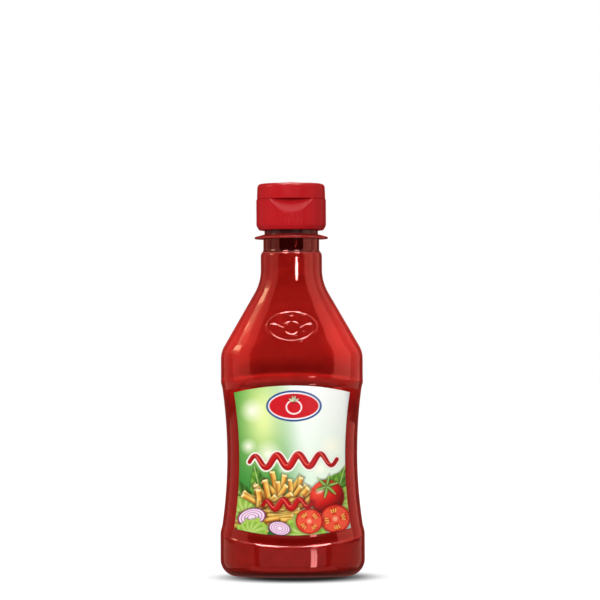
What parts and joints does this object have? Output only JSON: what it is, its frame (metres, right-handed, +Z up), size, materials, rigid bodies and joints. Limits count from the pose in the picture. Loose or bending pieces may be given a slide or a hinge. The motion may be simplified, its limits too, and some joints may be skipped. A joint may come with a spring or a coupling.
{
  "type": "ketchup bottle",
  "caption": "Oval waisted see-through red plastic squeeze bottle full of ketchup, with a round neck, a hinged flip-top cap with thumb scoop, and paper-thin labels on front and back.",
  "frame": {"origin": "under the middle of the base, on the plane that the bottle stands on", "axes": "+Z up the bottle to the cap; +X across its width, to the right as the front label is read; the front label faces -Y"},
  "size_m": [0.0732, 0.0502, 0.2],
  "materials": {
    "bottle_plastic": "clear red-tinted PET, smooth and glossy",
    "ketchup": "thick opaque tomato sauce with a wet shine",
    "cap_plastic": "moulded red polypropylene, satin",
    "label_front": "printed film, satin",
    "label_back": "printed film, satin"
  },
  "bodies": {
    "bottle": {"bottle": "bottle_plastic", "ketchup": "ketchup", "cap_base": "cap_plastic", "label_front": "label_front", "label_back": "label_back"},
    "lid": {"cap_lid": "cap_plastic"}
  },
  "joints": [
    {"name": "lid_hinge", "type": "hinge", "parent": "bottle", "child": "lid", "pos_m": [0, 0.0176, 0.1911], "axis": [-1, 0, 0], "range_deg": [0, 130]}
  ]
}
